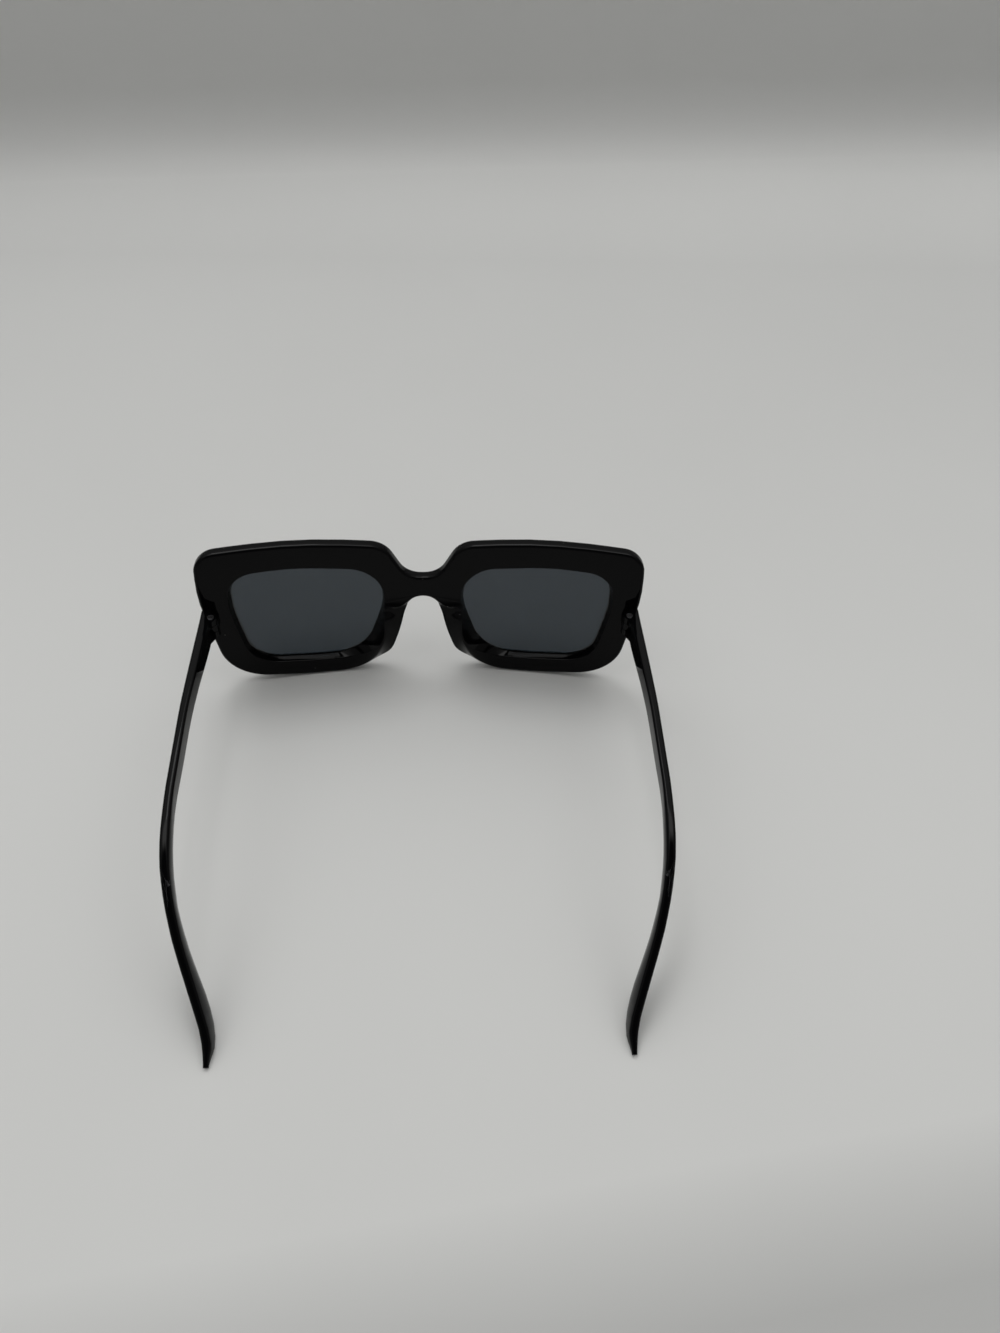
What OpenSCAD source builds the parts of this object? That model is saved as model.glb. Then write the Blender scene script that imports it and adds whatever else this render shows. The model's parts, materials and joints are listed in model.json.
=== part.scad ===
// Oversized square sunglasses with a moulded plastic frame, in millimetres.
// +X is the wearer's right, +Y the way the wearer looks, +Z up. The glasses stand open on
// their rims and temple tips, with the floor at z = 0.

/* [Lens openings] */
// Width of each lens opening
lens_w = 50.6; // [49:0.1:52]
// Height of each lens opening
lens_h = 42.1; // [41:0.1:45]
// Distance between the two openings, across the nose
lens_gap = 28.2; // [27:0.1:30]
// Radius of the corner beside the brow on the nose side
opening_nose_r = 12.5; // [11:0.5:13]
// Radius of the corner at the outer end of the brow
opening_top_r = 9; // [5:0.5:10]
// Radius of the lower outer corner
opening_low_r = 12.5; // [10:0.5:14]
// Radius of the lower corner on the nose side
opening_foot_r = 16; // [13:0.5:17]

/* [Rims] */
// Rim width above the lens
rim_top = 10.6; // [9:0.1:12]
// Rim width beside the lens, at the temple
rim_side = 10.4; // [9.5:0.1:12]
// Rim width below the lens
rim_bottom = 7.7; // [7:0.1:9]
// Radius of the upper outer corner of the front
corner_r = 7; // [4:0.5:8]
// Radius of the lower outer corner of the front
jaw_r = 18.2; // [15:0.2:20]
// Radius of the foot of the rim beside the nose
foot_r = 23; // [18:0.5:25]
// How far the front narrows towards its foot on each side
side_taper = 5.7; // [5:0.1:7]

/* [Bridge] */
// Height of the saddle, the lowest point of the bridge's upper edge
saddle_z = 43.9; // [42.5:0.1:45]
// Half the width of the saddle between its side walls
saddle_half = 5.25; // [5:0.05:5.6]
// Radius of the saddle's corners
saddle_r = 7.8; // [7:0.1:8.6]
// Radius of the shoulder where the brow turns down to the saddle
shoulder_r = 9.5; // [7:0.1:11]
// Height of the arch over the nose
arch_z = 35.3; // [34.5:0.1:36.5]
// Half the width of the arch at its top
arch_half = 4.25; // [4.2:0.05:5]
// Radius of the arch's corners
arch_r = 5.6; // [4.5:0.1:5.8]
// Half the width of the nose gap at the feet of the rims
nose_foot = 15.2; // [14.5:0.1:16]

/* [Section of the front] */
// Thickness of the front
front_t = 4.4; // [4.2:0.1:5.5]
// Radius that the front is bowed to, round the face
wrap_r = 312; // [280:4:400]
// Lean of the front from upright, top forwards
tilt = 8; // [6:0.5:10]
// Rounding of the front's outer edges on the outside
edge_front = 1.5; // [1:0.1:1.8]
// Rounding of the front's outer edges on the wearer's side
edge_back = 1.1; // [0.6:0.1:1.3]
// Depth of the lens behind the wearer's side of the front
seat_depth = 2.35; // [2.1:0.05:2.5]
// Flare of the opening's wall, from the lens to the wearer's side
wall_w = 0.75; // [0.6:0.05:1.4]
// Rounding of the opening's edge on the wearer's side
wall_edge = 0.35; // [0.2:0.05:0.5]
// Height of the moulded nose pads over the wearer's side
pad_h = 3.8; // [2:0.1:5]
// Distance of the pads' crests from the middle, at their foot
pad_x = 13.7; // [13.2:0.1:14.2]
// Width of the pad's crest
pad_crest = 1.1; // [0.6:0.1:1.5]

/* [Lenses] */
// Lens thickness
lens_t = 1.5; // [1.3:0.05:1.6]
// Depth of the lens edge in the rim's groove
groove = 0.9; // [0.6:0.1:1.2]
// Clearance between a lens and its groove
lens_fit = 0.06; // [0.04:0.01:0.1]

/* [Temples] */
// Height of the temples' upper edge above the floor
temple_top = 38.5; // [37.5:0.5:40]
// Height of a temple at its butt, by the hinge
butt_h = 9.3; // [9.3:0.1:12]
// Height of a temple's straight length
arm_h = 6.9; // [6:0.1:8]
// Thickness of a temple by the hinge
butt_t = 3.2; // [2.8:0.1:3.4]
// Thickness of a temple along its length
arm_t = 2.7; // [2.2:0.1:3.0]
// Distance of the bend over the ear behind the hinge
bend_reach = 84; // [78:0.5:90]
// Distance of the temple's tip behind the hinge
tip_reach = 135.8; // [132:0.1:140]
// Angle of the drop behind the ear
drop = 36; // [35:0.25:38]
// Radius of the bend over the ear
bend_r = 32; // [25:1:40]
// How far the tips turn in, measured from the outside of the front
tip_in = 12.8; // [10:0.2:16]
// Rounding of a temple's long edges
temple_edge = 0.9; // [0.5:0.1:1.1]
// Gap between a temple's butt and the front, when open
butt_gap = 0.15; // [0.1:0.05:0.4]

/* [Hinges] */
// Distance of the hinge pin in from the outside of the front
hinge_in = 4.1; // [4:0.05:4.3]
// Radius of the moulded knuckles
knuckle_r = 1.95; // [1.8:0.05:2.1]
// Height of each of the temple's two knuckles
fork_h = 2.6; // [2.4:0.1:2.8]
// Height of the front's knuckle between them
tongue_h = 3.0; // [2.6:0.1:3.2]
// Gap between neighbouring knuckles along the pin
knuckle_gap = 0.2; // [0.15:0.05:0.3]
// Space around the knuckles, in the temple and at the front
knuckle_room = 0.25; // [0.2:0.05:0.35]
// Drop of the upper knuckle below the temple's upper edge
hinge_drop = 0.6; // [0.5:0.1:0.7]
// Radius of the screw's shank
screw_r = 0.7; // [0.6:0.05:0.8]
// Radius of the screw's head
head_r = 1.2; // [1.1:0.05:1.3]
// Height of the screw's head
head_h = 0.7; // [0.5:0.05:0.8]
// Running clearance of the screw in the front's knuckle, on the radius
screw_run = 0.05; // [0.03:0.01:0.08]
// Clearance of the screw in the temple's knuckles, on the radius
screw_fit = 0.03; // [0.02:0.01:0.05]

/* [Hidden] */

arc_steps = [8, 8, 3, 10, 3, 12, 3, 14, 8];  // steps in each rounded corner of the front
run_steps = [3, 3, 4, 3, 4, 3, 4, 14];       // steps in each run between two of its corners
arm_steps = [4, 4, 5, 5, 4, 4];              // steps in each rounded corner of a temple
arm_runs = [4, 4, 4, 4, 4];                  // steps in each run between two of its corners
round_steps = 3;   // steps in the roundings of the front's and temples' edges
edge_fill = 0.98;  // most of an edge that the roundings at its two ends may fill
fine = 48;     // sides of the small round pieces
broad = 720;   // sides of the cylinders that bow the front
far = 200;     // longer than anything in the glasses

lens_in = lens_gap / 2;            // inner edge of an opening, from the middle
lens_out = lens_in + lens_w;       // outer edge of an opening
lens_top = rim_bottom + lens_h;    // upper edge of an opening, up the front
half_w = lens_out + rim_side;      // half the width of the front
front_h = lens_top + rim_top;      // height of the front, along its lean

lip_slope = 0.5;     // slope of an opening's wall in front of the lens
lip_round = 0.35;    // rounding at the front of an opening's wall
stand_flat = 0.12;   // depth of the flats that the rims stand on
pad_swell = 0.2;     // how far the pads' sides bulge, as a share of their height

hinge_x = half_w - hinge_in;
hinge_top = temple_top - hinge_drop;
tongue_top = hinge_top - fork_h - knuckle_gap;
tongue_low = tongue_top - tongue_h;
hinge_low = tongue_low - knuckle_gap - fork_h;
hinge_y = back_y(hinge_x, hinge_low) - knuckle_r - knuckle_room;
head_seat = hinge_top - head_h - 0.1;

tip_y = hinge_y - tip_reach;
middle_y = (tip_y + 0.1 + front_h * sin(tilt) + front_t * cos(tilt) - 1.0) / 2;

// Depth of a surface that lies `depth` in front of the wearer's side, x from the middle
function bow(x, depth) = sqrt(pow(wrap_r + depth, 2) - x * x) - wrap_r;
// Place of the wearer's side of the front, x from the middle and z from the floor
function back_y(x, z) = bow(x, 0) / cos(tilt) + z * tan(tilt);

function unit(p) = p / norm(p);
function turn(a, b) = a[0] * b[1] - a[1] * b[0];
function mix(a, b, t) = a + (b - a) * t;
function smooth(t) = let (c = min(1, max(0, t))) c * c * (3 - 2 * c);
function xy(c) = [c[0], c[1]];

// Distance from a corner to where its rounding starts
function trim(a, c, b) =
    let (d = acos(unit(xy(a) - xy(c)) * unit(xy(b) - xy(c))) / 2) c[2] / tan(d);

// The corners of an outline, with each radius limited by the straight edges beside it
function fitted(c) =
    let (last = len(c) - 1,
         cut = [for (i = [0:last]) (i == 0 || i == last) ? 0 : trim(c[i - 1], c[i], c[i + 1])],
         fill = [for (i = [1:last])
             (cut[i - 1] + cut[i]) / (edge_fill * norm(xy(c[i]) - xy(c[i - 1])))])
    [for (i = [0:last])
        (i == 0 || i == last) ? c[i] : [c[i][0], c[i][1], c[i][2] / max(1, fill[i - 1], fill[i])]];

// Points of the rounding of corner c, between corners a and b, in n steps
function corner_arc(a, c, b, n) =
    let (u = unit(xy(a) - xy(c)),
         v = unit(xy(b) - xy(c)),
         d = acos(u * v) / 2,
         mid = xy(c) + unit(u + v) * c[2] / sin(d),
         from = xy(c) + u * c[2] / tan(d) - mid,
         side = turn(-u, v) > 0 ? 1 : -1)
    [for (k = [0:n])
        let (t = side * (180 - 2 * d) * k / n)
        mid + [from[0] * cos(t) - from[1] * sin(t), from[0] * sin(t) + from[1] * cos(t)]];

// An open outline through corners [x, y, radius], with its two ends left sharp
function outline(corners, steps, runs) =
    let (c = fitted(corners),
         last = len(c) - 1,
         arcs = [for (i = [1:last - 1]) corner_arc(c[i - 1], c[i], c[i + 1], steps[i - 1])])
    [xy(c[0]),
     for (i = [0:last - 2]) each [
        each arcs[i],
        if (i < last - 2)
            each [for (k = [1:runs[i] - 1]) mix(arcs[i][steps[i]], arcs[i + 1][0], k / runs[i])]],
     xy(c[last])];

// Corners of an outline moved out by d all round
function grown(c, d) =
    let (last = len(c) - 1)
    [for (i = [0:last])
        (i == 0 || i == last) ? [c[i][0] - d, c[i][1], 0]
        : let (u = unit(xy(c[i - 1]) - xy(c[i])),
               v = unit(xy(c[i + 1]) - xy(c[i])),
               p = xy(c[i]) - unit(u + v) * d / sin(acos(u * v) / 2))
        [p[0], p[1], c[i][2] + d]];

// Normals of a path, to the left of the way that it runs
function normals(p, ends) =
    [for (i = [0:len(p) - 1])
        let (before = p[(i + len(p) - 1) % len(p)],
             after = p[(i + 1) % len(p)],
             d = unit(after - before))
        (i == 0 && ends) ? [0, 1]
        : (i == len(p) - 1 && ends) ? [0, -1]
        : [-d[1], d[0]]];

// Corners of half of the front, clockwise from the saddle to the arch
rim_corners = [
    [0, saddle_z, 0],
    [saddle_half, saddle_z, saddle_r],
    [lens_in - rim_side * 0.16, front_h - rim_top * 0.283, shoulder_r],
    [lens_in + lens_w * 0.53, front_h - rim_top * 0.01, lens_w * 5],
    [half_w - rim_side * 0.125, front_h - rim_top * 0.047, corner_r],
    [half_w + rim_side * 0.01, front_h * 0.7, lens_w * 1.4],
    [half_w - side_taper, rim_bottom * 0.44, jaw_r],
    [lens_in + lens_w * 0.57, 0, lens_w * 2],
    [nose_foot, rim_bottom * 0.04, foot_r],
    [arch_half, arch_z, arch_r],
    [0, arch_z, 0]];

// A corner at shares u of the width and v of the height of a lens opening
function placed(u, v, r) = [lens_in + lens_w * u, rim_bottom + lens_h * v, r];

// Corners of a lens opening, matched to the corners above
opening_corners = [
    placed(0, 0.65, 0),
    placed(0, 0.772, opening_nose_r),
    placed(0.1265, 0.942, opening_nose_r),
    placed(0.57, 1, lens_w * 1.78),
    placed(0.994, 0.986, opening_top_r),
    placed(1.002, 0.618, lens_w * 0.89),
    placed(0.917, 0.04, opening_low_r),
    placed(0.47, -0.002, lens_w * 1.58),
    placed(0.154, 0.012, opening_foot_r),
    placed(0, 0.542, lens_w * 0.4),
    placed(0, 0.637, 0)];

// Corners of the back edge of an opening's wall, which is the pad's crest beside the nose
wall_corners = [
    for (i = [0:7]) grown(opening_corners, wall_w)[i],
    [pad_x, rim_bottom * 1.04, lens_w * 0.32],
    placed(-wall_w / lens_w, 0.608, lens_w * 0.8),
    grown(opening_corners, wall_w)[10]];

rim = outline(rim_corners, arc_steps, run_steps);
rim_n = normals(rim, true);
opening = outline(opening_corners, arc_steps, run_steps);
opening_n = normals(opening, false);
wall = outline(wall_corners, arc_steps, run_steps);
stations = len(rim);

// How far the nose pad has risen at a station, from 0 to 1, ending at `top` over `run`
function pad_rise(i, top, run) =
    let (m = (rim[i] + wall[i]) / 2)
    smooth((m[1] - 3) / 10) * smooth((top - m[1]) / run) * smooth((32 - m[0]) / 8);

// The section of the rim at a station: [point on the front's outline, depth], from the
// wearer's side through the opening to the outside and round the outer edge
function section(i) =
    let (a = opening[i], an = opening_n[i],
         b = rim[i], bn = rim_n[i],
         up = pad_rise(i, 33.6, 10) * pad_h,
         facet = pad_rise(i, 33.4, 2.2),
         crest = wall[i],
         away = unit(b - crest),
         brink = b - bn * edge_back,
         ridge = mix(brink, crest + away * pad_crest, facet),
         back = seat_depth - lens_fit,
         fore = seat_depth + lens_t + lens_fit)
    [[crest + away * wall_edge, -up],
     [crest + away * wall_edge * (1 - sin(45)), wall_edge * (1 - sin(45)) - up],
     [mix(crest, a, wall_edge / (back + up)), wall_edge - up],
     [a, back],
     [a + an * groove, back],
     [a + an * groove, fore],
     [a, fore],
     [a + an * lip_slope, front_t - lip_round],
     [a + an * (lip_slope + lip_round), front_t],
     for (k = [0:round_steps])
         let (t = 90 * k / round_steps)
         [b - bn * edge_front * (1 - sin(t)), front_t - edge_front * (1 - cos(t))],
     for (k = [0:round_steps])
         let (t = 90 * k / round_steps, far_in = k / round_steps)
         [mix(b - bn * edge_back * (1 - cos(t)), mix(b, ridge, far_in), facet),
          mix(edge_back * (1 - sin(t)),
              edge_back * (1 - far_in) - up * far_in * (1 + pad_swell * (1 - far_in)), facet)]];

rings = len(section(0));   // points in a section
outer_ring = 9;            // first of the section's points on the outer edge

// Both halves of the front as one closed shell, which meet at the middle of the bridge
module front_shell() {
    half = [for (i = [0:stations - 1]) each
        [for (s = section(i)) [s[0][0], bow(s[0][0], s[1]), s[0][1]]]];
    points = [each half, for (p = half) [-p[0], p[1], p[2]]];
    function id(left, i, j) =
        let (shared = (i == 0 || i == stations - 1) && j >= outer_ring)
        (left && !shared ? stations * rings : 0) + i * rings + j;
    faces = [for (left = [false, true], i = [0:stations - 1], j = [0:rings - 1])
        let (next = (i + 1) % stations,
             over = (j + 1) % rings,
             q = [id(left, i, j), id(left, next, j), id(left, next, over), id(left, i, over)],
             open = i == stations - 1 && j >= outer_ring && j < rings - 1)
        each open ? []
            : left ? [[q[2], q[1], q[0]], [q[3], q[2], q[0]]]
            : [[q[0], q[1], q[2]], [q[0], q[2], q[3]]]];
    polyhedron(points, faces);
}

// Everything up to `depth` in front of the wearer's side of the front, leaned as it leans
module behind_front(depth) {
    rotate([-tilt, 0, 0])
        translate([0, -wrap_r, -far / 2])
            cylinder(r = wrap_r + depth, h = far, $fn = broad);
}

module above_floor() {
    translate([-far / 2, -far, 0]) cube([far, 2 * far, far]);
}

module lens_shape() {
    edge = outline(grown(opening_corners, groove - lens_fit), arc_steps, run_steps);
    rotate([-tilt, 0, 0])
        translate([0, 10, 0])
            rotate([90, 0, 0])
                linear_extrude(30) polygon(edge);
}

module lens() {
    color([0.12, 0.13, 0.15, 0.85])
        translate([0, -middle_y, -stand_flat])
            difference() {
                intersection() {
                    lens_shape();
                    behind_front(seat_depth + lens_t);
                }
                behind_front(seat_depth);
            }
}

// The front's knuckle on the right, moulded on the wearer's side
module tongue() {
    translate([hinge_x, hinge_y, tongue_low])
        linear_extrude(tongue_h)
            union() {
                circle(knuckle_r, $fn = fine);
                translate([-knuckle_r, 0]) square([2 * knuckle_r, knuckle_r + 2.6]);
            }
}

module frame_front() {
    color([0.06, 0.06, 0.065])
        translate([0, -middle_y, 0])
            difference() {
                intersection() {
                    union() {
                        translate([0, 0, -stand_flat]) rotate([-tilt, 0, 0]) front_shell();
                        tongue();
                        mirror([1, 0, 0]) tongue();
                    }
                    above_floor();
                }
                for (side = [-1, 1])
                    translate([side * hinge_x, hinge_y, tongue_low - 1])
                        cylinder(r = screw_r + screw_run, h = tongue_h + 2, $fn = fine);
            }
}

// Outer face of a temple seen from above, as [y, x]
temple_plan = outline([
    [hinge_y + 8, half_w - 0.9, 0],
    [hinge_y - tip_reach * 0.265, half_w + 0.8, tip_reach * 1.84],
    [hinge_y - tip_reach * 0.486, half_w + 0.7, tip_reach * 0.81],
    [hinge_y - tip_reach * 0.722, half_w - 0.7, tip_reach * 0.66],
    [tip_y + tip_reach * 0.0545, half_w - tip_in + 0.8, tip_reach * 0.147],
    [tip_y - 1, half_w - tip_in, 0]], arm_steps, arm_runs);

// Upper edge of a temple seen from the side, as [y, z]
temple_upper = outline([
    [hinge_y + 8, temple_top, 0],
    [hinge_y - bend_reach, temple_top, bend_r],
    [tip_y + 2.2, temple_top - (tip_reach - bend_reach - 2.2) * tan(drop), 2.4],
    [tip_y, 1.3, 0]], arm_steps, arm_runs);

// Lower edge of a temple seen from the side, as [y, z]
temple_lower = outline([
    [hinge_y + 8, temple_top - butt_h, 0],
    [hinge_y - 8, temple_top - butt_h, 20],
    [hinge_y - 24, temple_top - arm_h - 0.5, 60],
    [hinge_y - 56, temple_top - arm_h, 100],
    [hinge_y - bend_reach + 4, temple_top - arm_h + 1.7, 24],
    [tip_y + 12, -stand_flat, 14],
    [tip_y + 1.8, -stand_flat, 1.8],
    [tip_y, 0.9, 0]], arm_steps, arm_runs);

temple_step = 3.4;   // distance between the sections of a temple
tip_step = 0.7;      // distance between them at its rounded end
tip_round = 4.2;     // length of the rounded end

// Places of the sections along a temple, from the butt to the tip
temple_places = [
    for (k = [0:floor((tip_reach + 6 - tip_round) / temple_step)]) hinge_y + 6 - k * temple_step,
    for (y = [tip_y + tip_round:-tip_step:tip_y + tip_step / 2]) y,
    tip_y + 0.1];

// lookup needs its keys to rise, so the paths are read by distance from the butt
function read(path, y) = lookup(-y, [for (p = path) [-p[0], p[1]]]);

// A temple's section in the plane across it at y, as a ring of points. Beside the hinge its
// outer face leans in with the side of the front.
function temple_ring(y) =
    let (hi = read(temple_upper, y),
         lo = read(temple_lower, y),
         out = read(temple_plan, y),
         t = mix(butt_t, arm_t, smooth((hinge_y - 4 - y) / 40)) * mix(1, 0.55, smooth((tip_y + 6 - y) / 6)),
         lean = 0.14 * (1 - smooth((hinge_y - y) / 24)),
         r = min(temple_edge, (hi - lo) * 0.4, t * 0.4))
    [for (q = [0:3], k = [0:round_steps])
        let (a = 90 * (q + k / round_steps),
             cz = q < 2 ? hi - r : lo + r,
             cx = (q == 0 || q == 3) ? out - r - lean * (hi - cz) : out - t + r)
        [cx + r * cos(a), y, cz + r * sin(a)]];

module temple_shell() {
    n = len(temple_places);
    m = 4 * (round_steps + 1);
    points = [for (y = temple_places) each temple_ring(y)];
    sides = [for (i = [0:n - 2], j = [0:m - 1])
        let (a = i * m + j, b = i * m + (j + 1) % m)
        each [[a + m, b, a], [a + m, b + m, b]]];
    butt = [for (j = [0:m - 1]) j];
    tip = [for (j = [m - 1:-1:0]) (n - 1) * m + j];
    polyhedron(points, [each sides, butt, tip]);
}

// One of the temple's two knuckles on the right, with its web to the temple's inner face
module fork_knuckle(z) {
    web_x = hinge_in - butt_t + 0.9;
    translate([hinge_x, hinge_y, z])
        linear_extrude(fork_h)
            union() {
                circle(knuckle_r, $fn = fine);
                polygon([[knuckle_r * cos(235), knuckle_r * sin(235)],
                         [web_x - 0.6, -5.4],
                         [web_x, -5.4],
                         [web_x, knuckle_r * 0.6],
                         [0, knuckle_r * 0.9]]);
            }
}

// Room in the temple for the front's knuckle
module tongue_room() {
    room = knuckle_r + knuckle_room;
    translate([hinge_x, hinge_y, tongue_low - knuckle_gap])
        linear_extrude(tongue_h + 2 * knuckle_gap)
            union() {
                circle(room, $fn = fine);
                translate([-room, 0]) square([2 * room, room + 4]);
            }
}

// The right temple, open; the left one is its mirror image
module temple() {
    color([0.06, 0.06, 0.065])
        translate([0, -middle_y, 0])
            difference() {
                intersection() {
                    union() {
                        difference() {
                            intersection() {
                                temple_shell();
                                behind_front(-butt_gap);
                            }
                            tongue_room();
                        }
                        fork_knuckle(hinge_top - fork_h);
                        fork_knuckle(hinge_low);
                    }
                    above_floor();
                }
                translate([hinge_x, hinge_y, hinge_low - 1])
                    cylinder(r = screw_r + screw_fit, h = hinge_top - hinge_low + 2, $fn = fine);
                translate([hinge_x, hinge_y, head_seat])
                    cylinder(r = head_r + screw_fit, h = head_h + 1, $fn = fine);
            }
}

// A slotted screw, its head sunk in the temple's upper knuckle
module hinge_screw() {
    slot_w = 0.32;
    slot_d = 0.3;
    color([0.75, 0.75, 0.77])
        translate([hinge_x, hinge_y - middle_y, 0])
            difference() {
                union() {
                    translate([0, 0, hinge_low + 0.2])
                        cylinder(r = screw_r, h = head_seat - hinge_low, $fn = fine);
                    translate([0, 0, head_seat]) cylinder(r = head_r, h = head_h, $fn = fine);
                }
                translate([-head_r - 1, -slot_w / 2, head_seat + head_h - slot_d])
                    cube([2 * head_r + 2, slot_w, slot_d + 1]);
            }
}

frame_front();
mirror([1, 0, 0]) lens();  // lens_left
lens();  // lens_right
mirror([1, 0, 0]) temple();  // temple_left
temple();  // temple_right
mirror([1, 0, 0]) hinge_screw();  // hinge_screw_left
hinge_screw();  // hinge_screw_right
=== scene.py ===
# Oversized square sunglasses in glossy black plastic, open on a pale sweep of paper.
# +X is the wearer's right, +Y the way the wearer looks, +Z up, all lengths in metres.
import json
import math
import bmesh
import bpy
from mathutils import Matrix, Vector

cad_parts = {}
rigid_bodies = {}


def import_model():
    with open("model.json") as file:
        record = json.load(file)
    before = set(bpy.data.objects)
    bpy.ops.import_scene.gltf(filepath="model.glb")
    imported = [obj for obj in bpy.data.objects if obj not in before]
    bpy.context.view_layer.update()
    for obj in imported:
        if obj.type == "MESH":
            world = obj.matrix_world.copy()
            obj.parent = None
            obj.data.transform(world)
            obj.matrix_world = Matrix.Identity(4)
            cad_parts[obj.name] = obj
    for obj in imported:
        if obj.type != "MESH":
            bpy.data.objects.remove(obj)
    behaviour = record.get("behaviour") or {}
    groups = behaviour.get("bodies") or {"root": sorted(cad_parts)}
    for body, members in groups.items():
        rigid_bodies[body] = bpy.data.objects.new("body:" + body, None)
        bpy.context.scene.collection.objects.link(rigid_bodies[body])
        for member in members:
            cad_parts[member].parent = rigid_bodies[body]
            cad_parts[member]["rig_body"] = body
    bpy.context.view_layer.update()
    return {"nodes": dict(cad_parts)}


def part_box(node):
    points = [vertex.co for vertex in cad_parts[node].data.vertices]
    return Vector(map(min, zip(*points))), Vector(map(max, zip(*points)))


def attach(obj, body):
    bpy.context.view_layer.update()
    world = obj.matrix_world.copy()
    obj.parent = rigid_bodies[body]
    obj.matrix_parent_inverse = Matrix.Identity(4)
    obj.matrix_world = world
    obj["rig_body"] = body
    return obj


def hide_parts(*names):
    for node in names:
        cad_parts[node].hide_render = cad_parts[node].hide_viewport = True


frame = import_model()
scene = bpy.context.scene
scene.view_settings.view_transform = "Standard"
mm = 0.001
print("frame loaded with", len(frame["nodes"]), "nodes")


# Camera, where the photographer held it: above and behind the open temples
cameraSettings = {
    "place": (5.494 * mm, -158.971 * mm, 300.295 * mm),
    "yaw": 0.1011,             # radians, turned to the wearer's right
    "down": 0.9261,            # radians below the horizon
    "roll": 0.0737,            # radians
    "focal": 1000.0,           # in pixels, for a picture of the height below
    "pictureHeight": 1333.0,
    "sensorWidth": 36.0,       # in mm, along the longer side of the picture
    "clip": (0.01, 20.0)}


def makeCamera(settings):
    yaw, down = settings["yaw"], settings["down"]
    look = Vector((math.sin(yaw) * math.cos(down), math.cos(yaw) * math.cos(down), -math.sin(down)))
    side = Vector((math.cos(yaw), -math.sin(yaw), 0))
    right = Matrix.Rotation(-settings["roll"], 3, look) @ side
    up = right.cross(look)
    data = bpy.data.cameras.new("camera")
    data.sensor_fit = "AUTO"
    data.sensor_width = settings["sensorWidth"]
    data.lens = data.sensor_width * settings["focal"] / settings["pictureHeight"]
    data.clip_start, data.clip_end = settings["clip"]
    camera = bpy.data.objects.new("camera", data)
    scene.collection.objects.link(camera)
    basis = Matrix((right, up, -look)).transposed()
    camera.matrix_world = Matrix.Translation(settings["place"]) @ basis.to_4x4()
    scene.camera = camera


makeCamera(cameraSettings)
print("camera set")


# Node helpers. In a dictionary of inputs, a socket is linked and any other value is typed in
def setInputs(tree, node, inputs):
    for name, value in inputs.items():
        if isinstance(value, bpy.types.NodeSocket):
            tree.links.new(value, node.inputs[name])
        else:
            node.inputs[name].default_value = value


def addNode(tree, kind, place, inputs=None, **settings):
    node = tree.nodes.new(kind)
    node.location = place
    for name, value in settings.items():
        setattr(node, name, value)
    setInputs(tree, node, inputs or {})
    return node


def newMaterial(name):
    material = bpy.data.materials.new(name)
    material.use_nodes = True
    tree = material.node_tree
    tree.nodes.clear()
    shader = addNode(tree, "ShaderNodeBsdfPrincipled", (300, 0))
    addNode(tree, "ShaderNodeOutputMaterial", (600, 0), {"Surface": shader.outputs["BSDF"]})
    return material, tree, shader


def objectPlace(tree):
    return addNode(tree, "ShaderNodeTexCoord", (-1500, 0)).outputs["Object"]


def mathNode(tree, operation, place, *values):
    inputs = dict(enumerate(values))
    return addNode(tree, "ShaderNodeMath", place, inputs, operation=operation).outputs[0]


def noiseNode(tree, place, vector, scale, detail):
    inputs = {"Vector": vector, "Scale": scale, "Detail": detail}
    return addNode(tree, "ShaderNodeTexNoise", place, inputs).outputs["Fac"]


def mapRange(tree, place, value, given, wanted, kind="LINEAR"):
    inputs = {"Value": value, "From Min": given[0], "From Max": given[1],
              "To Min": wanted[0], "To Max": wanted[1]}
    return addNode(tree, "ShaderNodeMapRange", place, inputs, interpolation_type=kind).outputs[0]


def mixColours(tree, place, share, first, second, blend="MIX"):
    return addNode(tree, "ShaderNodeMix", place, {"Factor": share, 6: first, 7: second},
                   data_type="RGBA", blend_type=blend).outputs[2]


def mirrorPlace(tree, place, here):
    # The same place on the wearer's right, so that both sides get one pattern, and its parts
    x, y = place
    parts = addNode(tree, "ShaderNodeSeparateXYZ", place, {0: here}).outputs
    across = mathNode(tree, "ABSOLUTE", (x + 150, y + 100), parts["X"])
    joined = addNode(tree, "ShaderNodeCombineXYZ", (x + 300, y),
                     {"X": across, "Y": parts["Y"], "Z": parts["Z"]})
    return joined.outputs[0], parts


def newMaskGroup(name, numbers):
    group = bpy.data.node_groups.new(name, "ShaderNodeTree")
    group.interface.new_socket("Vector", in_out="INPUT", socket_type="NodeSocketVector")
    for label, value in numbers.items():
        socket = group.interface.new_socket(label, in_out="INPUT", socket_type="NodeSocketFloat")
        socket.default_value = value
    group.interface.new_socket("Mask", in_out="OUTPUT", socket_type="NodeSocketFloat")
    entry = addNode(group, "NodeGroupInput", (-900, 0))
    leave = addNode(group, "NodeGroupOutput", (700, 0))
    return group, entry.outputs, leave


# Hairline scratches: the thin bands where a long stretched noise crosses its middle value
scratchSettings = {
    "inputs": {"Scale": 900.0, "Stretch": 0.04, "Width": 0.012, "Cover": 0.5},
    "angles": (4.0, -6.0),     # degrees from the Y axis, one for each set of scratches
    "detail": 1.0,
    "patchNoise": (160.0, 2.0),    # scale and detail of the patches that they lie in
    "middle": 0.5}


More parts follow.
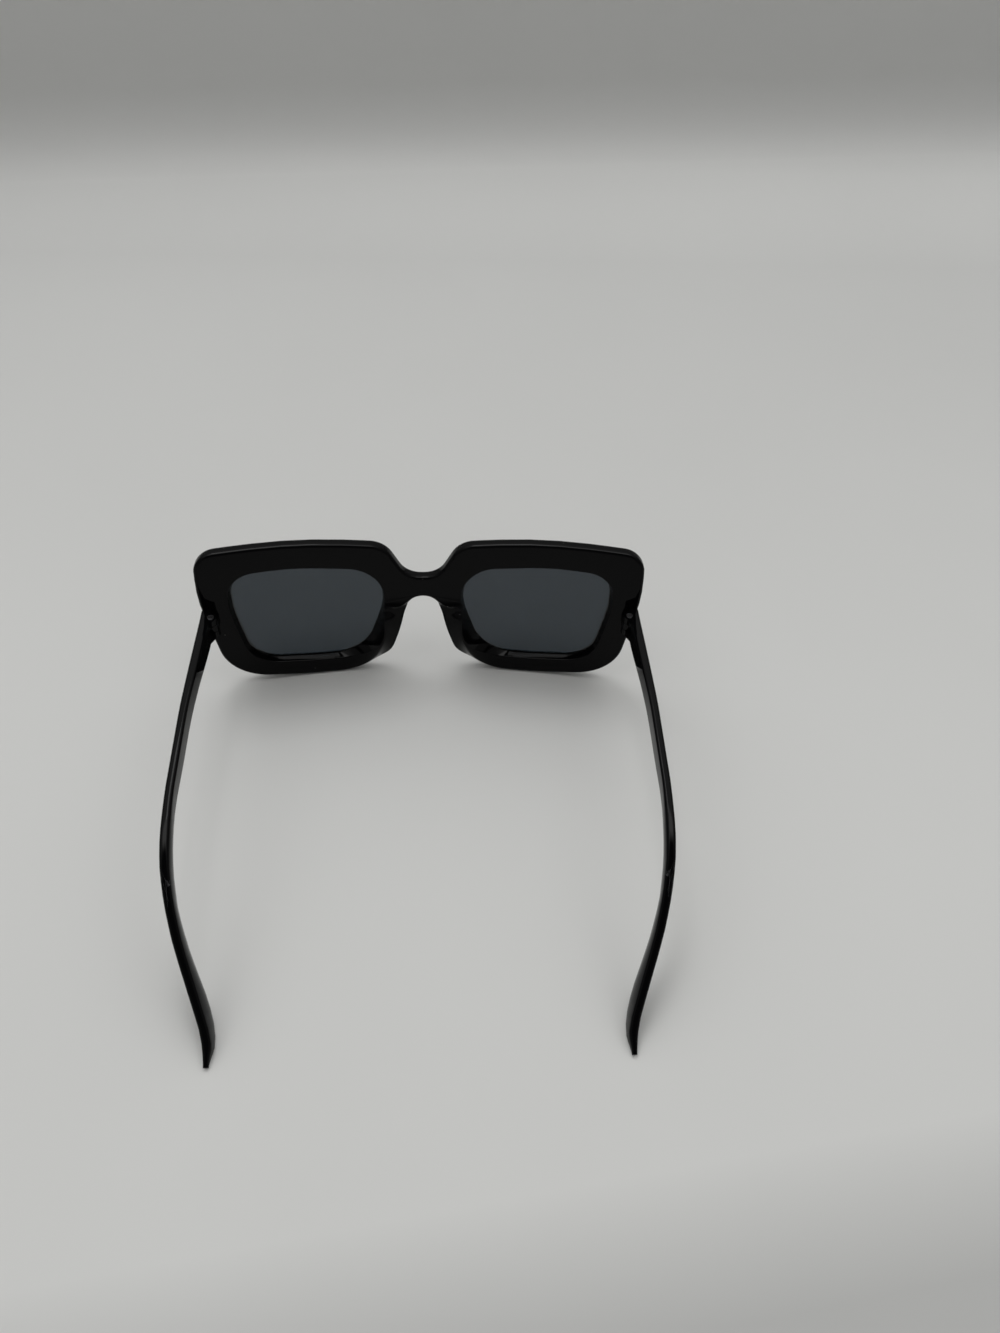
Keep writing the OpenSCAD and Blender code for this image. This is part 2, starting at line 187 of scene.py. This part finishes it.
def makeScratchGroup(settings):
    group, given, leave = newMaskGroup("fineScratches", settings["inputs"])
    sets = []
    for index, angle in enumerate(settings["angles"]):
        row = -300 * index
        turned = addNode(group, "ShaderNodeVectorRotate", (-700, row),
                         {"Vector": given["Vector"], "Angle": math.radians(angle)},
                         rotation_type="Z_AXIS").outputs[0]
        parts = addNode(group, "ShaderNodeSeparateXYZ", (-540, row), {0: turned}).outputs
        along = mathNode(group, "MULTIPLY", (-380, row), parts["Y"], given["Stretch"])
        joined = addNode(group, "ShaderNodeCombineXYZ", (-220, row),
                         {"X": parts["X"], "Y": along, "Z": parts["Z"]}).outputs[0]
        hairs = noiseNode(group, (-60, row), joined, given["Scale"], settings["detail"])
        gap = mathNode(group, "SUBTRACT", (100, row), hairs, settings["middle"])
        away = mathNode(group, "ABSOLUTE", (250, row), gap)
        sets.append(mathNode(group, "LESS_THAN", (400, row), away, given["Width"]))
    patches = noiseNode(group, (-60, 300), given["Vector"], *settings["patchNoise"])
    broken = mathNode(group, "LESS_THAN", (250, 300), patches, given["Cover"])
    either = mathNode(group, "MAXIMUM", (540, -150), *sets)
    setInputs(group, leave, {"Mask": mathNode(group, "MULTIPLY", (600, 100), either, broken)})
    return group


# Sparse specks of dust: small discs round the few cells whose random value is low
dustSettings = {"Scale": 700.0, "Size": 0.1, "Share": 0.02}


def makeDustGroup(settings):
    group, given, leave = newMaskGroup("dustSpecks", settings)
    cells = addNode(group, "ShaderNodeTexVoronoi", (-500, 0),
                    {"Vector": given["Vector"], "Scale": given["Scale"]}).outputs
    disc = mathNode(group, "LESS_THAN", (-200, 100), cells["Distance"], given["Size"])
    pick = addNode(group, "ShaderNodeSeparateColor", (-300, -150), {0: cells["Color"]})
    chosen = mathNode(group, "LESS_THAN", (-100, -150), pick.outputs[0], given["Share"])
    setInputs(group, leave, {"Mask": mathNode(group, "MULTIPLY", (200, 0), disc, chosen)})
    return group


scratchGroup = makeScratchGroup(scratchSettings)
dustGroup = makeDustGroup(dustSettings)


# Glossy black plastic of the front and temples
plasticSettings = {
    "colour": (0.0018, 0.0018, 0.0021, 1),
    "dust": (0.12, 0.117, 0.11, 1),
    "refraction": 1.5,
    "specular": 0.085,
    "polish": 0.035,           # roughness of the polished skin
    "handled": 0.08,           # roughness where it is handled
    "smearNoise": (45.0, 4.0),     # scale and detail, as in each noise below
    "smears": (0.42, 0.72),    # from which value of that noise to which it is handled
    "scratchRough": 0.3,       # roughness that a scratch adds
    "rippleNoise": (140.0, 1.0),
    "rippleStrength": 0.25,
    "ripple": 0.01 * mm}       # depth of the moulding's faint ripple

# The scratches are sparse all over the front. On the temples there are a few along the bend behind
# the ear, where they rub the case
frontWear = {"cover": 0.22, "colour": (0.05, 0.05, 0.052, 1)}
templeWear = {
    "cover": 0.46,
    "colour": (0.07, 0.07, 0.073, 1),
    "fall": 36.0,              # slope of the edge at the bend, in degrees
    "inward": 11.0,            # its turn toward the head, in degrees
    "at": -39 * mm,            # the bend's place along Y
    "reach": 8 * mm,           # of the scratches, to either side of it
    "fade": 0.6}               # share of the reach from which they fade


def nearBend(tree, here, wear):
    # Coordinates that run along the falling and inward turning edge, and a share that is 1 at the bend
    mirrored, parts = mirrorPlace(tree, (-1300, -350), here)
    turn = (math.radians(-wear["fall"]), 0, math.radians(wear["inward"]))
    aligned = addNode(tree, "ShaderNodeMapping", (-800, -150), {"Vector": mirrored, "Rotation": turn})
    ahead = mathNode(tree, "SUBTRACT", (-740, -350), parts["Y"], wear["at"])
    away = mathNode(tree, "ABSOLUTE", (-620, -350), ahead)
    fade = (wear["reach"] * wear["fade"], wear["reach"])
    return aligned.outputs["Vector"], mapRange(tree, (-500, -300), away, fade, (1.0, 0.0))


def makePlastic(name, settings, wear):
    material, tree, shader = newMaterial(name)
    here = objectPlace(tree)
    cloud = noiseNode(tree, (-500, 200), here, *settings["smearNoise"])
    smear = mapRange(tree, (-300, 200), cloud, settings["smears"],
                     (settings["polish"], settings["handled"]))
    vector, near = nearBend(tree, here, wear) if "at" in wear else (here, 1.0)
    scratches = addNode(tree, "ShaderNodeGroup", (-500, -100),
                        {"Vector": vector, "Cover": wear["cover"]}, node_tree=scratchGroup)
    scratched = mathNode(tree, "MULTIPLY", (-300, -200), scratches.outputs["Mask"], near)
    specks = addNode(tree, "ShaderNodeGroup", (-500, -500), {"Vector": here}, node_tree=dustGroup)
    dust = specks.outputs["Mask"]
    worn = mixColours(tree, (-100, 300), scratched, settings["colour"], wear["colour"])
    dusty = mixColours(tree, (60, 300), dust, worn, settings["dust"])
    rough = mathNode(tree, "MULTIPLY_ADD", (-100, 0), scratched, settings["scratchRough"], smear)
    rougher = mathNode(tree, "MAXIMUM", (60, 0), rough, dust)
    ripple = noiseNode(tree, (-500, -750), here, *settings["rippleNoise"])
    bump = addNode(tree, "ShaderNodeBump", (60, -300),
                   {"Height": ripple, "Strength": settings["rippleStrength"],
                    "Distance": settings["ripple"]})
    setInputs(tree, shader, {
        "Base Color": dusty, "Roughness": rougher, "Normal": bump.outputs["Normal"],
        "IOR": settings["refraction"], "Specular IOR Level": settings["specular"]})
    return material


# Smoke-grey lens plastic
lensSettings = {
    "tint": (0.032, 0.042, 0.052, 1),
    "dust": (0.2, 0.2, 0.2, 1),
    "dustScale": 450.0,
    "dustSize": 0.11,
    "refraction": 1.49,
    "specular": 0.3,
    "polish": 0.015,
    "filmed": 0.06,            # roughness under the film that handling leaves
    "filmNoise": (60.0, 5.0),
    "films": (0.45, 0.8)}


def makeLensMaterial(settings):
    material, tree, shader = newMaterial("smokeLens")
    here = objectPlace(tree)
    film = noiseNode(tree, (-500, 100), here, *settings["filmNoise"])
    rough = mapRange(tree, (-300, 100), film, settings["films"],
                     (settings["polish"], settings["filmed"]))
    specks = addNode(tree, "ShaderNodeGroup", (-500, -200),
                     {"Vector": here, "Scale": settings["dustScale"], "Size": settings["dustSize"]},
                     node_tree=dustGroup)
    tinted = mixColours(tree, (-100, 300), specks.outputs["Mask"], settings["tint"], settings["dust"])
    setInputs(tree, shader, {
        "Base Color": tinted, "Roughness": rough, "Transmission Weight": 1.0,
        "IOR": settings["refraction"], "Specular IOR Level": settings["specular"]})
    return material


# Steel of the hinge screws, faced on a lathe. Its colour is darker than bare steel's, a painted dark
# reflection of the room
steelSettings = {
    "colour": (0.12, 0.12, 0.125, 1),
    "roughness": (0.22, 0.38),     # across the rings that the tool left
    "ringScale": 2200.0,
    "ringDetail": 2.0,
    "ringWobble": 0.6,
    "ringStrength": 0.1,
    "ringDepth": 0.005 * mm}


def makeSteel(settings):
    material, tree, shader = newMaterial("screwSteel")
    low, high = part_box("hinge_screw_right")
    axis = (low + high) / 2
    both = mirrorPlace(tree, (-940, 0), objectPlace(tree))[0]
    centred = addNode(tree, "ShaderNodeMapping", (-460, 0),
                      {"Vector": both, "Location": (-axis.x, -axis.y, 0)}).outputs[0]
    rings = addNode(tree, "ShaderNodeTexWave", (-260, 0),
                    {"Vector": centred, "Scale": settings["ringScale"],
                     "Distortion": settings["ringWobble"], "Detail": settings["ringDetail"]},
                    wave_type="RINGS", rings_direction="Z").outputs["Fac"]
    rough = mapRange(tree, (-60, 0), rings, (0.0, 1.0), settings["roughness"])
    bump = addNode(tree, "ShaderNodeBump", (60, -250),
                   {"Height": rings, "Strength": settings["ringStrength"],
                    "Distance": settings["ringDepth"]})
    setInputs(tree, shader, {
        "Base Color": settings["colour"], "Metallic": 1.0, "Roughness": rough,
        "Normal": bump.outputs["Normal"]})
    return material


frontPlastic = makePlastic("frontPlastic", plasticSettings, frontWear)
templePlastic = makePlastic("templePlastic", plasticSettings, templeWear)
lensPlastic = makeLensMaterial(lensSettings)
screwSteel = makeSteel(steelSettings)
print("materials made")


# Shares between 0 and 1
def held(value):
    return min(1.0, max(0.0, value))


def smoothStep(value):
    share = held(value)
    return share * share * (3 - 2 * share)


# Nose pads: the front is moulded as a bowed sheet that leans, and depth is measured through that sheet
padSettings = {
    "shift": (65.1426 * mm, 0.12 * mm),    # place of the sheet's foot, along Y and Z
    "lean": math.radians(8),
    "bow": 312 * mm,
    "height": 3.8 * mm,
    "edge": 1.1 * mm,          # depth of the outline's edge away from the pads
    "reach": 7.2 * mm,         # climb from the outline to the pad's crest
    "span": (3 * mm, 33.6 * mm),   # heights at which a pad begins and ends
    "ease": 10 * mm,           # climb in which it grows to its full depth at either end
    "outside": 32 * mm,        # half the distance between the pads' outer limits
    "easeAside": 8 * mm,
    "rounds": 6,               # of finding the pad's rise and its middle from each other
    "firstRise": 0.5,
    "flatness": 0.34,          # share of the flank's slope that is left on a full pad
    "foot": (8 * mm, 18 * mm),     # heights between which the flattening sets in
    "haste": 1.6,              # how much sooner than the pad the flattening is full
    "brink": 0.02 * mm}        # the least step, and how close to the edge's depth the brink lies


def padRise(x, middle, settings):
    (low, high), ease = settings["span"], settings["ease"]
    aside = smoothStep((settings["outside"] - abs(x)) / settings["easeAside"])
    return smoothStep((middle - low) / ease) * smoothStep((high - middle) / ease) * aside


def flattenPads(mesh, settings):
    # Turns the flank of each pad toward the wearer, so that it ends in an edge beside the nose
    cosine, sine = math.cos(settings["lean"]), math.sin(settings["lean"])
    footY, footZ = settings["shift"]
    bow, edge, tall = settings["bow"], settings["edge"], settings["height"]
    low, high = settings["foot"]
    brink = set()
    moved = 0
    for vert in mesh.verts:
        x, y, z = vert.co.x, vert.co.y - footY, vert.co.z + footZ
        along, up = y * cosine - z * sine, y * sine + z * cosine
        depth = math.hypot(x, along + bow) - bow
        if depth > edge + settings["brink"] / 2 or abs(x) > settings["outside"]:
            continue
        rise = settings["firstRise"]
        for turn in range(settings["rounds"]):
            share = held((edge - depth) / (edge + tall * rise))
            middle = up + settings["reach"] * (0.5 - share)
            rise = padRise(x, middle, settings)
        full = smoothStep(rise * settings["haste"]) * smoothStep((middle - low) / (high - low))
        step = (depth + tall * rise) * (1 - settings["flatness"]) * full
        if step < settings["brink"]:
            continue
        along = math.sqrt(max(0.0, (bow + depth - step) ** 2 - x ** 2)) - bow
        vert.co.y = along * cosine + up * sine + footY
        vert.co.z = up * cosine - along * sine - footZ
        moved += 1
        if abs(depth - edge) < settings["brink"]:
            brink.add(vert)
    crisp = mesh.edges.layers.int.new("crisp")
    for line in mesh.edges:
        line[crisp] = int(line.verts[0] in brink and line.verts[1] in brink)
    print("pads: moved", moved, "points,", len(brink), "of them on the brink")


# Temple tips: behind the ear their lower edge turns in toward the head, and the inner face is full
tipSettings = {
    "turns": (-38 * mm, -57 * mm),     # along Y, where the turn sets in and where it is complete
    "ends": (-61 * mm, -75 * mm),      # where it dies out toward the rounded end
    "turnIn": 1.95 * mm,               # of the lower inner edge
    "outerShare": 0.5,                 # of it, for the lower outer edge
    "swells": (-8 * mm, -24 * mm),     # where the fullness sets in and where it is complete
    "swell": 0.4 * mm,                 # fullness of the inner face at half its height
    "left": 0.1,                       # share of both that is left at the very end
    "cuts": 4,                         # in each edge that crosses the inner face
    "crossing": (1 * mm, 0.9),         # its least rise, and its least rise against its run
    "facing": 0.8,                     # how squarely its faces look at the head, 1 at most
    "sectionStep": 0.05 * mm,          # the points of one section lie this close along Y ...
    "sectionPoints": 12,               # ... and are more than these
    "leastHeight": 0.1 * mm}           # of a section, in working out how far down a point lies


def crossingEdges(mesh, settings):
    leastRise, leastSlope = settings["crossing"]
    found = []
    for edge in mesh.edges:
        start, end = (vert.co for vert in edge.verts)
        rise, run = abs(start.z - end.z), abs(start.y - end.y)
        side = math.copysign(1, start.x)
        inward = all(side * face.normal.x < -settings["facing"] for face in edge.link_faces)
        tall = rise > max(leastRise, leastSlope * run)
        if inward and tall and max(start.y, end.y) < settings["swells"][0]:
            found.append(edge)
    return found


def templeSections(mesh, settings):
    # For each section its place along Y, highest, lowest, outermost and innermost point
    rings = {}
    for vert in mesh.verts:
        rings.setdefault(round(vert.co.y / settings["sectionStep"]), []).append(vert.co.copy())
    return sorted((ring[0].y, max(p.z for p in ring), min(p.z for p in ring),
                   max(abs(p.x) for p in ring), min(abs(p.x) for p in ring))
                  for ring in rings.values() if len(ring) > settings["sectionPoints"])


def sectionAt(sections, y):
    for a, b in zip(sections, sections[1:]):
        if y <= b[0]:
            share = held((y - a[0]) / (b[0] - a[0]))
            return [m + (n - m) * share for m, n in zip(a, b)][1:]


def turnTips(mesh, settings):
    # The edges that cross the inner face from top to bottom are cut, so that it can swell
    tall = crossingEdges(mesh, settings)
    bmesh.ops.subdivide_edges(mesh, edges=tall, cuts=settings["cuts"])
    sections = templeSections(mesh, settings)

    def passed(y, span):
        start, end = settings[span]
        return (start - y) / (start - end)

    for vert in mesh.verts:
        x, y, z = vert.co
        if y > settings["swells"][0]:
            continue
        high, low, outer, inner = sectionAt(sections, y)
        down = held((high - z) / max(high - low, settings["leastHeight"]))
        inward = held((outer - abs(x)) / (outer - inner))
        kept = 1 - (1 - settings["left"]) * smoothStep(passed(y, "ends"))
        turned = settings["turnIn"] * held(passed(y, "turns")) * down
        turned *= settings["outerShare"] + (1 - settings["outerShare"]) * inward
        swollen = settings["swell"] * smoothStep(passed(y, "swells")) * 4 * down * (1 - down) * inward
        vert.co.x = x - math.copysign((turned + swollen) * kept, x)
    print("tips: cut", len(tall), "edges of the inner face,", len(sections), "sections")


# Polished pieces: the CAD surfaces with their facets merged, so that the gloss runs smoothly over them
skinSettings = {
    "merge": 0.01 * mm,        # points closer than this become one
    "flat": 4,                 # degrees, the most between two triangles that are joined
    "askew": 40,               # degrees, how far from square such a face may be
    "brinkAngle": 18,          # degrees from which the brink of a pad is sharp
    "sharp": {"front": 55, "temple": 50, "lens": 40, "screw": 40},    # the same for other edges
    "weight": 80}              # how much the larger face counts where two meet


def polishedPiece(node, name, material, kind, reshape=None):
    mesh = bmesh.new()
    mesh.from_mesh(frame["nodes"][node].data)
    bmesh.ops.remove_doubles(mesh, verts=mesh.verts, dist=skinSettings["merge"])
    if reshape:
        reshape(mesh)
    bmesh.ops.join_triangles(mesh, faces=mesh.faces,
                             angle_face_threshold=math.radians(skinSettings["flat"]),
                             angle_shape_threshold=math.radians(skinSettings["askew"]))
    for face in mesh.faces:
        face.smooth = True
    crisp = mesh.edges.layers.int.get("crisp")
    for edge in mesh.edges:
        limit = skinSettings["brinkAngle"] if crisp and edge[crisp] else skinSettings["sharp"][kind]
        edge.smooth = edge.calc_face_angle(0) < math.radians(limit)
    data = bpy.data.meshes.new(name)
    mesh.to_mesh(data)
    mesh.free()
    piece = bpy.data.objects.new(name, data)
    scene.collection.objects.link(piece)
    data.materials.append(material)
    weighted = piece.modifiers.new("weighted", "WEIGHTED_NORMAL")
    weighted.keep_sharp = True
    weighted.weight = skinSettings["weight"]
    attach(piece, frame["nodes"][node]["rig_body"])
    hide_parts(node)
    print(name, "has", len(data.polygons), "faces")


polishedPiece("frame_front", "front_moulding", frontPlastic, "front",
              lambda mesh: flattenPads(mesh, padSettings))
for side in ("left", "right"):
    polishedPiece("temple_" + side, "temple_moulding_" + side, templePlastic, "temple",
                  lambda mesh: turnTips(mesh, tipSettings))
    polishedPiece("lens_" + side, "polished_lens_" + side, lensPlastic, "lens")
    polishedPiece("hinge_screw_" + side, "slotted_screw_" + side, screwSteel, "screw")
print("pieces made")


# Sweep of pale paper: a floor that bends up behind the glasses. Its tones are painted light and shade:
# each is a share of the colour, which comes in over the fade of the same name
sweepSettings = {
    "turn": 6.0,               # degrees, so that the bend lies level in the picture
    "bendAt": 0.432,           # where the floor starts to rise
    "bendRadius": 0.035,
    "bendSteps": 24,
    "halfWidth": 2.2,
    "nearEdge": -1.6,
    "wallHeight": 0.1,
    "colour": (0.76, 0.762, 0.752, 1),
    "roughness": 0.85,
    "specular": 0.15,
    "grainNoise": (9.0, 5.0),
    "grain": (0.975, 1.02),
    "farTone": 0.86,           # painted shade beyond the glasses, where less light falls
    "farFade": (-0.05, 0.33),
    "bendTone": 1.2,           # painted light at the bend, against that
    "bendFade": (0.34, 0.44),
    "wallTone": 0.94,          # painted shade on the wall, against the bend, with a fade in height
    "wallFade": (0.0, 0.05),
    "nearTone": 0.72,          # painted shadow of the photographer, most of all on the right
    "nearFade": (-0.116, -0.154),
    "nearSkew": 0.127}         # how steeply the edge of that painted shadow runs across the floor


def makePaper(settings):
    material, tree, shader = newMaterial("palePaper")
    here = objectPlace(tree)
    grain = noiseNode(tree, (-500, 0), here, *settings["grainNoise"])
    total = mapRange(tree, (-300, 0), grain, (0.0, 1.0), settings["grain"])
    place = addNode(tree, "ShaderNodeSeparateXYZ", (-900, 500), {0: here}).outputs
    behind = mathNode(tree, "MULTIPLY_ADD", (-700, 700), place["X"], -settings["nearSkew"], place["Y"])
    # Painted light and shade on the paper: darker beyond the glasses, lighter at the bend, darker up
    # the wall than at the bend, and a painted shadow of the photographer on the near floor
    shades = [("far", place["Y"], "SMOOTHSTEP"), ("bend", place["Y"], "LINEAR"),
              ("near", behind, "LINEAR"), ("wall", place["Z"], "LINEAR")]
    for row, (name, along, kind) in enumerate(shades):
        tone = mapRange(tree, (-500, 250 * row + 250), along, settings[name + "Fade"],
                        (1.0, settings[name + "Tone"]), kind)
        total = mathNode(tree, "MULTIPLY", (100 * row - 300, 200), total, tone)
    shade = mixColours(tree, (140, 200), 1.0, settings["colour"], total, "MULTIPLY")
    setInputs(tree, shader, {
        "Base Color": shade, "Roughness": settings["roughness"],
        "Specular IOR Level": settings["specular"]})
    return material


def makeSweep(settings):
    mesh = bmesh.new()
    half, bend, radius = settings["halfWidth"], settings["bendAt"], settings["bendRadius"]
    near, steps = settings["nearEdge"], settings["bendSteps"]
    edge = mesh.edges.new([mesh.verts.new((-half, near, 0)), mesh.verts.new((half, near, 0))])

    def onward(fromEdge, step):
        made = bmesh.ops.extrude_edge_only(mesh, edges=[fromEdge])["geom"]
        verts = [v for v in made if isinstance(v, bmesh.types.BMVert)]
        bmesh.ops.translate(mesh, verts=verts, vec=step)
        return next(e for e in made if isinstance(e, bmesh.types.BMEdge) and set(e.verts) == set(verts))

    edge = onward(edge, (0, bend - near, 0))
    for step in range(steps):
        a, b = (math.pi / 2 * k / steps for k in (step, step + 1))
        rise = radius * (math.cos(a) - math.cos(b))
        edge = onward(edge, (0, radius * (math.sin(b) - math.sin(a)), rise))
    onward(edge, (0, 0, settings["wallHeight"]))
    bmesh.ops.rotate(mesh, verts=mesh.verts, cent=(0, 0, 0),
                     matrix=Matrix.Rotation(math.radians(settings["turn"]), 3, "Z"))
    bmesh.ops.recalc_face_normals(mesh, faces=mesh.faces)
    for face in mesh.faces:
        face.smooth = True
    data = bpy.data.meshes.new("paperSweep")
    mesh.to_mesh(data)
    mesh.free()
    sweep = bpy.data.objects.new("paperSweep", data)
    scene.collection.objects.link(sweep)
    data.materials.append(makePaper(settings))


makeSweep(sweepSettings)


# Soft studio light: a room that grows bright toward its ceiling, dark where the photographer stands,
# and one lamp above the bend of the paper. Each span holds the cosines of the angles from the middle
# of its zone between which the zone's light comes in
roomSettings = {
    "tint": (1.0, 1.0, 0.985, 1),
    "walls": 0.3,
    "ceilingAt": (-0.05, 0.17, 0.98),
    "halo": 0.15,              # added round the bright part of the ceiling
    "haloSpan": (0.1, 0.7),
    "ceiling": 0.75,           # added in the bright part itself
    "ceilingSpan": (0.6, 0.87),
    "sheenAt": (0.0, 0.0, 1.0),
    "sheen": 3.0,              # added straight overhead in what polished surfaces show
    "sheenSpan": (0.9, 0.96),
    "photographer": 0.06,      # all the light that comes from there
    "photographerSpan": (0.8, 0.93),
    "watched": (0, 0.06, 0.03)}    # the place that the photographer looks at


def makeRoom(settings):
    world = bpy.data.worlds.new("softRoom")
    scene.world = world
    world.use_nodes = True
    tree = world.node_tree
    background = tree.nodes["Background"]
    background.location = (240, 0)
    source = addNode(tree, "ShaderNodeTexCoord", (-1000, 0)).outputs["Generated"]

    def zone(row, toward, span, amount):
        middle = tuple(Vector(toward).normalized())
        facing = addNode(tree, "ShaderNodeVectorMath", (-800, row), {0: source, 1: middle},
                         operation="DOT_PRODUCT").outputs["Value"]
        return mapRange(tree, (-600, row), facing, settings[span], (0.0, amount), "SMOOTHSTEP")

    halo = zone(0, settings["ceilingAt"], "haloSpan", settings["halo"])
    core = zone(-300, settings["ceilingAt"], "ceilingSpan", settings["ceiling"])
    bright = mathNode(tree, "ADD", (-400, -100), halo, core)
    bright = mathNode(tree, "ADD", (-250, -100), bright, settings["walls"])
    path = addNode(tree, "ShaderNodeLightPath", (-600, -1200)).outputs
    sheen = zone(-900, settings["sheenAt"], "sheenSpan", settings["sheen"])
    sheen = mathNode(tree, "MULTIPLY", (-400, -900), sheen, path["Is Glossy Ray"])
    bright = mathNode(tree, "ADD", (-200, -300), bright, sheen)
    toward = Vector(cameraSettings["place"]) - Vector(settings["watched"])
    person = zone(-600, toward, "photographerSpan", 1.0)
    tone = addNode(tree, "ShaderNodeMix", (-100, 0),
                   {0: person, 2: bright, 3: settings["photographer"]})
    coloured = mixColours(tree, (60, 0), 1.0, settings["tint"], tone.outputs[0], "MULTIPLY")
    setInputs(tree, background, {"Color": coloured})


# The lamp, whose aim is a place on the floor between the temples
overheadSettings = {
    "place": (-0.12, 0.45, 0.95),
    "aim": (0.0, 0.03, 0.0),
    "size": (0.28, 0.28),
    "power": 1.3}


def makeLamp(name, settings):
    data = bpy.data.lights.new(name, "AREA")
    data.shape = "RECTANGLE"
    data.size, data.size_y = settings["size"]
    data.energy = settings["power"]
    light = bpy.data.objects.new(name, data)
    light.location = settings["place"]
    aim = Vector(settings["aim"]) - Vector(settings["place"])
    light.rotation_mode = "QUATERNION"
    light.rotation_quaternion = aim.to_track_quat("-Z", "Y")
    scene.collection.objects.link(light)


makeRoom(roomSettings)
makeLamp("overhead", overheadSettings)
print("stage and lights made")
